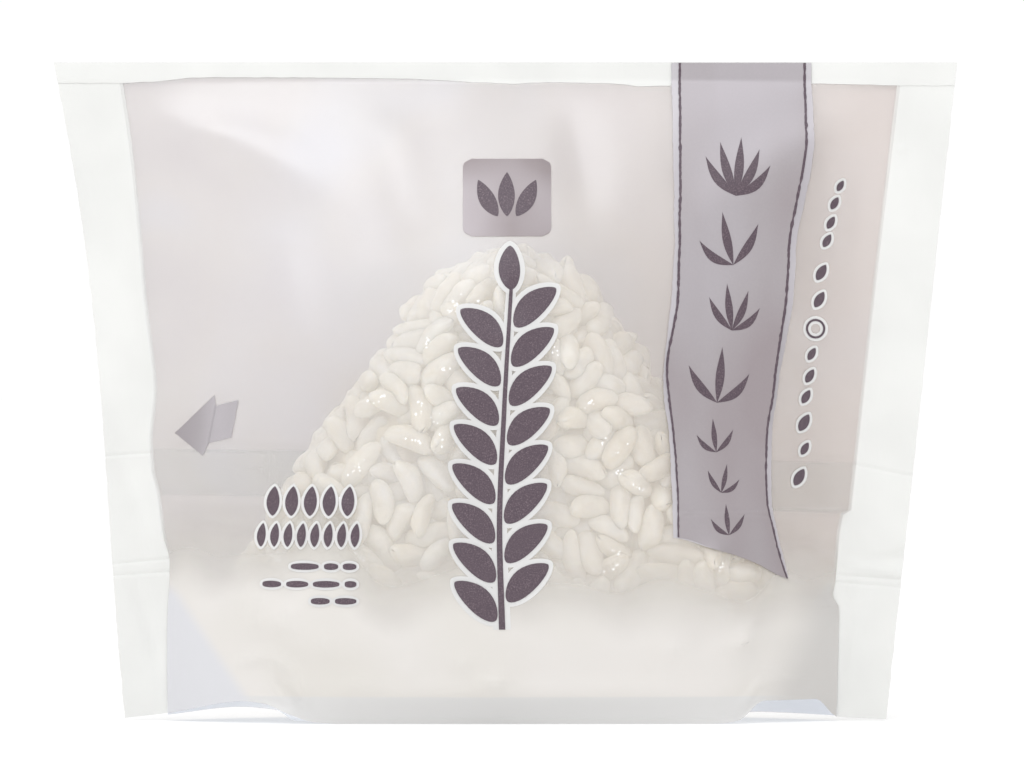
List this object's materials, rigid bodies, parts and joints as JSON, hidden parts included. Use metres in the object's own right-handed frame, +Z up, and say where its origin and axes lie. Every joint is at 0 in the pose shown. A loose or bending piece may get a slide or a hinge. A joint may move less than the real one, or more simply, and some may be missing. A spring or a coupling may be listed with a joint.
{
  "type": "packaged rice ball",
  "caption": "Triangular rice ball sealed upright in a clear film pouch with white side seals, a folded head band and a gusseted foot.",
  "frame": {"origin": "on the surface below the middle of the pouch, at the bottom centre of its box", "axes": "+X along the pouch's width, to the right as seen from the front; +Y from the front panel to the back panel; +Z up"},
  "size_m": [0.14, 0.0363, 0.102],
  "materials": {
    "film": "thin clear plastic film, satin gloss, softly folded, fogged white towards the foot",
    "seal": "white printed film, welded flat, satin with fine crinkles",
    "silver_print": "silver-grey ink on film, satin metallic",
    "dark_print": "dark plum-grey ink on film with a pale edge",
    "rice": "cooked white rice, moist, slightly translucent grains pressed together"
  },
  "bodies": {
    "root": {"pouch": "film"}
  },
  "joints": []
}
